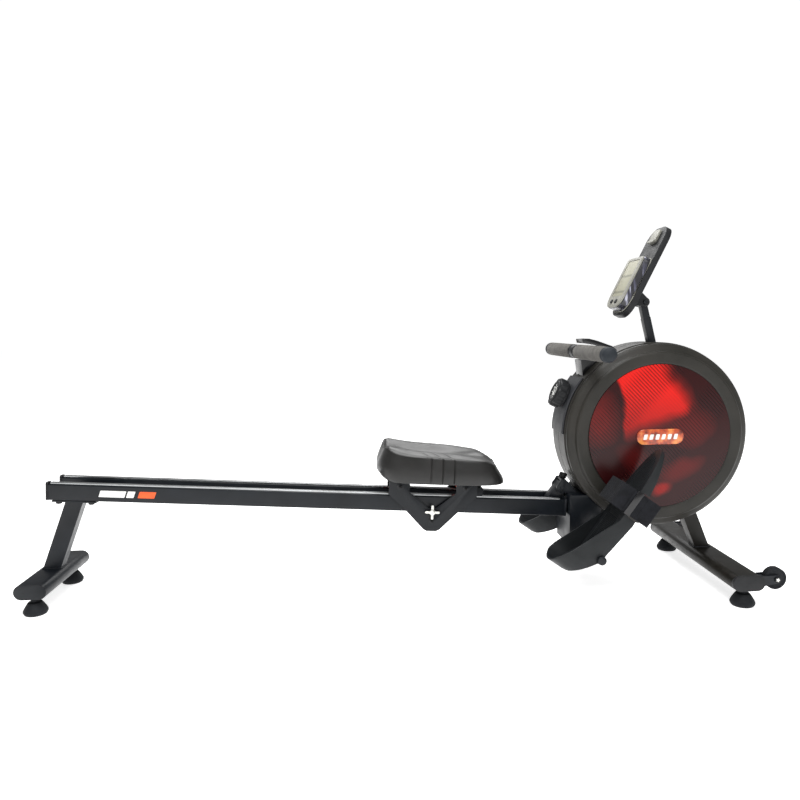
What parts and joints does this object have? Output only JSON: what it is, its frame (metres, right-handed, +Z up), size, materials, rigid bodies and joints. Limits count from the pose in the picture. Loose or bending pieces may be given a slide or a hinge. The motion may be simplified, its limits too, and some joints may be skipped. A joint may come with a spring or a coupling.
{
  "type": "rowing machine",
  "caption": "Folding magnetic rowing machine: drum with red side covers, seat rolling on twin sloping rails, strap-pull handle, tilting pedals with foot straps, console on a mast.",
  "frame": {"origin": "on the floor, under the middle of the machine", "axes": "+X towards the drum, +Y across the machine to its far side, +Z up"},
  "size_m": [1.8, 0.52, 0.8995],
  "materials": {
    "black_paint": "semi-gloss black powder coat",
    "black_plastic": "fine-textured black moulding",
    "seat_skin": "smooth moulded foam skin",
    "dark_rubber": "matt black rubber",
    "grey_foam": "grey closed-cell foam",
    "red_lens": "dark red glossy cover",
    "red_urethane": "red urethane",
    "silver_plastic": "silver-grey paint on plastic",
    "zinc": "bright zinc plate",
    "aluminium": "brushed, clear anodised",
    "cast_iron": "turned face",
    "webbing": "black woven webbing"
  },
  "bodies": {
    "frame": {"front_stabiliser": "black_paint", "front_bar_cap_near": "black_plastic", "front_bar_cap_far": "black_plastic", "wheel_bracket_near": "black_paint", "wheel_bracket_far": "black_paint", "main_frame": "black_paint", "fold_bracket": "black_paint", "pedal_axle": "black_paint", "casing_near": "black_plastic", "casing_far": "black_plastic", "lens_near": "red_lens", "lens_far": "red_lens", "rider_cover": "black_plastic", "handle_cradle": "black_plastic", "flywheel_axle": "zinc", "drive_strap": "webbing", "console_mast": "black_paint"},
    "rail_frame": {"rail_near": "black_paint", "rail_far": "black_paint", "track_near": "aluminium", "track_far": "aluminium", "rail_cap_near": "black_plastic", "rail_cap_far": "black_plastic", "rail_hinge_plate": "black_paint", "front_stop": "dark_rubber", "rear_leg": "black_paint"},
    "seat": {"seat_carriage": "black_paint", "seat_pad": "seat_skin"},
    "seat_roller_rear": {"seat_roller_rear": "red_urethane"},
    "seat_roller_front": {"seat_roller_front": "red_urethane"},
    "seat_roller_lower": {"seat_roller_lower": "dark_rubber"},
    "seat_screw": {"seat_screw": "zinc"},
    "fold_knob": {"fold_knob": "black_plastic"},
    "foot_front_near": {"foot_front_near": "dark_rubber"},
    "foot_front_far": {"foot_front_far": "dark_rubber"},
    "foot_rear_near": {"foot_rear_near": "dark_rubber"},
    "foot_rear_far": {"foot_rear_far": "dark_rubber"},
    "transport_wheel_near": {"transport_wheel_near": "dark_rubber"},
    "transport_wheel_far": {"transport_wheel_far": "dark_rubber"},
    "flywheel": {"flywheel": "cast_iron"},
    "strap_reel": {"strap_reel": "black_plastic"},
    "guide_roller": {"guide_roller": "black_plastic"},
    "brake_arm": {"brake_arm": "zinc"},
    "tension_knob": {"tension_knob": "black_plastic"},
    "handle": {"handle_bar": "black_paint", "grip_near": "grey_foam", "grip_far": "grey_foam", "handle_cap_near": "dark_rubber", "handle_cap_far": "dark_rubber", "pull_strap": "webbing"},
    "console": {"console_plate": "black_plastic", "console_meter": "black_plastic", "console_bezel": "silver_plastic"},
    "button_mode": {"button_mode": "black_plastic"},
    "button_reset": {"button_reset": "black_plastic"},
    "phone_clip": {"phone_clip": "silver_plastic"},
    "pedal_near": {"pedal_near": "black_plastic", "pedal_strap_near": "webbing"},
    "pedal_far": {"pedal_far": "black_plastic", "pedal_strap_far": "webbing"}
  },
  "joints": [
    {"name": "rail_fold", "type": "hinge", "parent": "frame", "child": "rail_frame", "pos_m": [0.43012, 0, 0.247], "axis": [0, -1, 0], "range_deg": [-54, 0]},
    {"name": "seat_slide", "type": "slide", "parent": "rail_frame", "child": "seat", "axis": [-0.998, 0, 0.0624], "range_m": [0, 0.79]},
    {"name": "rear_roller_turn", "type": "hinge", "parent": "seat", "child": "seat_roller_rear", "pos_m": [0.0158, 0, 0.27071], "axis": [0, -1, 0], "range_deg": [0, 2270]},
    {"name": "front_roller_turn", "type": "hinge", "parent": "seat", "child": "seat_roller_front", "pos_m": [0.17948, 0, 0.26047], "axis": [0, -1, 0], "range_deg": [0, 2270]},
    {"name": "lower_roller_turn", "type": "hinge", "parent": "seat", "child": "seat_roller_lower", "pos_m": [0.09239, 0, 0.18166], "axis": [0, 1, 0], "range_deg": [0, 2270]},
    {"name": "seat_screw_turn", "type": "hinge", "parent": "seat", "child": "seat_screw", "pos_m": [0.09384, -0.06, 0.20491], "axis": [0, -1, 0], "range_deg": [0, 180]},
    {"name": "fold_knob_turn", "type": "hinge", "parent": "frame", "child": "fold_knob", "pos_m": [0.4389, 0, 0.27569], "axis": [0.2924, 0, 0.9563], "range_deg": [0, 180]},
    {"name": "handle_pull", "type": "slide", "parent": "frame", "child": "handle", "axis": [-1, 0, 0], "range_m": [0, 1], "stiffness_N_per_m": 12, "springref_m": -1, "deforming": ["pull_strap"]},
    {"name": "reel_turn", "type": "hinge", "parent": "frame", "child": "strap_reel", "pos_m": [0.657, 0, 0.384], "axis": [0, 1, 0], "range_deg": [0, 1440]},
    {"name": "guide_turn", "type": "hinge", "parent": "frame", "child": "guide_roller", "pos_m": [0.59, 0, 0.5799], "axis": [0, -1, 0], "range_deg": [0, 4800]},
    {"name": "flywheel_spin", "type": "hinge", "parent": "frame", "child": "flywheel", "pos_m": [0.657, 0, 0.384], "axis": [0, 1, 0], "continuous": true},
    {"name": "tension_turn", "type": "hinge", "parent": "frame", "child": "tension_knob", "pos_m": [0.44134, 0, 0.48228], "axis": [-0.91, 0, 0.4147], "range_deg": [0, 300]},
    {"name": "brake_swing", "type": "hinge", "parent": "frame", "child": "brake_arm", "pos_m": [0.60253, 0.024, 0.2421], "axis": [0, -1, 0], "range_deg": [0, 4]},
    {"name": "console_tilt", "type": "hinge", "parent": "frame", "child": "console", "pos_m": [0.64, 0, 0.714], "axis": [0, 1, 0], "range_deg": [-20, 20]},
    {"name": "mode_press", "type": "slide", "parent": "console", "child": "button_mode", "axis": [0.891, 0, -0.454], "range_m": [0, 0.0015], "stiffness_N_per_m": 400},
    {"name": "reset_press", "type": "slide", "parent": "console", "child": "button_reset", "axis": [0.891, 0, -0.454], "range_m": [0, 0.0015], "stiffness_N_per_m": 400},
    {"name": "phone_clip_pull", "type": "slide", "parent": "console", "child": "phone_clip", "axis": [0.454, 0, 0.891], "range_m": [0, 0.02], "stiffness_N_per_m": 250},
    {"name": "pedal_near_tilt", "type": "hinge", "parent": "frame", "child": "pedal_near", "pos_m": [0.472, -0.157, 0.117], "axis": [0, -1, 0], "range_deg": [0, 25]},
    {"name": "pedal_far_tilt", "type": "hinge", "parent": "frame", "child": "pedal_far", "pos_m": [0.472, 0.157, 0.117], "axis": [0, -1, 0], "range_deg": [0, 25]},
    {"name": "wheel_near_turn", "type": "hinge", "parent": "frame", "child": "transport_wheel_near", "pos_m": [0.8746, -0.223, 0.0667], "axis": [0, 1, 0], "continuous": true},
    {"name": "wheel_far_turn", "type": "hinge", "parent": "frame", "child": "transport_wheel_far", "pos_m": [0.8746, 0.223, 0.0667], "axis": [0, 1, 0], "continuous": true},
    {"name": "foot_front_near_turn", "type": "hinge", "parent": "frame", "child": "foot_front_near", "pos_m": [0.807, -0.2125, 0], "axis": [0, 0, 1], "range_deg": [0, 720]},
    {"name": "foot_front_far_turn", "type": "hinge", "parent": "frame", "child": "foot_front_far", "pos_m": [0.807, 0.2125, 0], "axis": [0, 0, 1], "range_deg": [0, 720]},
    {"name": "foot_rear_near_turn", "type": "hinge", "parent": "rail_frame", "child": "foot_rear_near", "pos_m": [-0.862, -0.108, 0], "axis": [0, 0, 1], "range_deg": [0, 720]},
    {"name": "foot_rear_far_turn", "type": "hinge", "parent": "rail_frame", "child": "foot_rear_far", "pos_m": [-0.862, 0.108, 0], "axis": [0, 0, 1], "range_deg": [0, 720]}
  ],
  "couplings": [
    {"joint": "rear_roller_turn", "follows": "seat_slide", "rad_per_m": 50},
    {"joint": "front_roller_turn", "follows": "seat_slide", "rad_per_m": 50},
    {"joint": "lower_roller_turn", "follows": "seat_slide", "rad_per_m": 50},
    {"joint": "reel_turn", "follows": "handle_pull", "rad_per_m": 25},
    {"joint": "guide_turn", "follows": "handle_pull", "rad_per_m": 83.3},
    {"joint": "brake_swing", "follows": "tension_turn", "ratio": 0.013333}
  ]
}
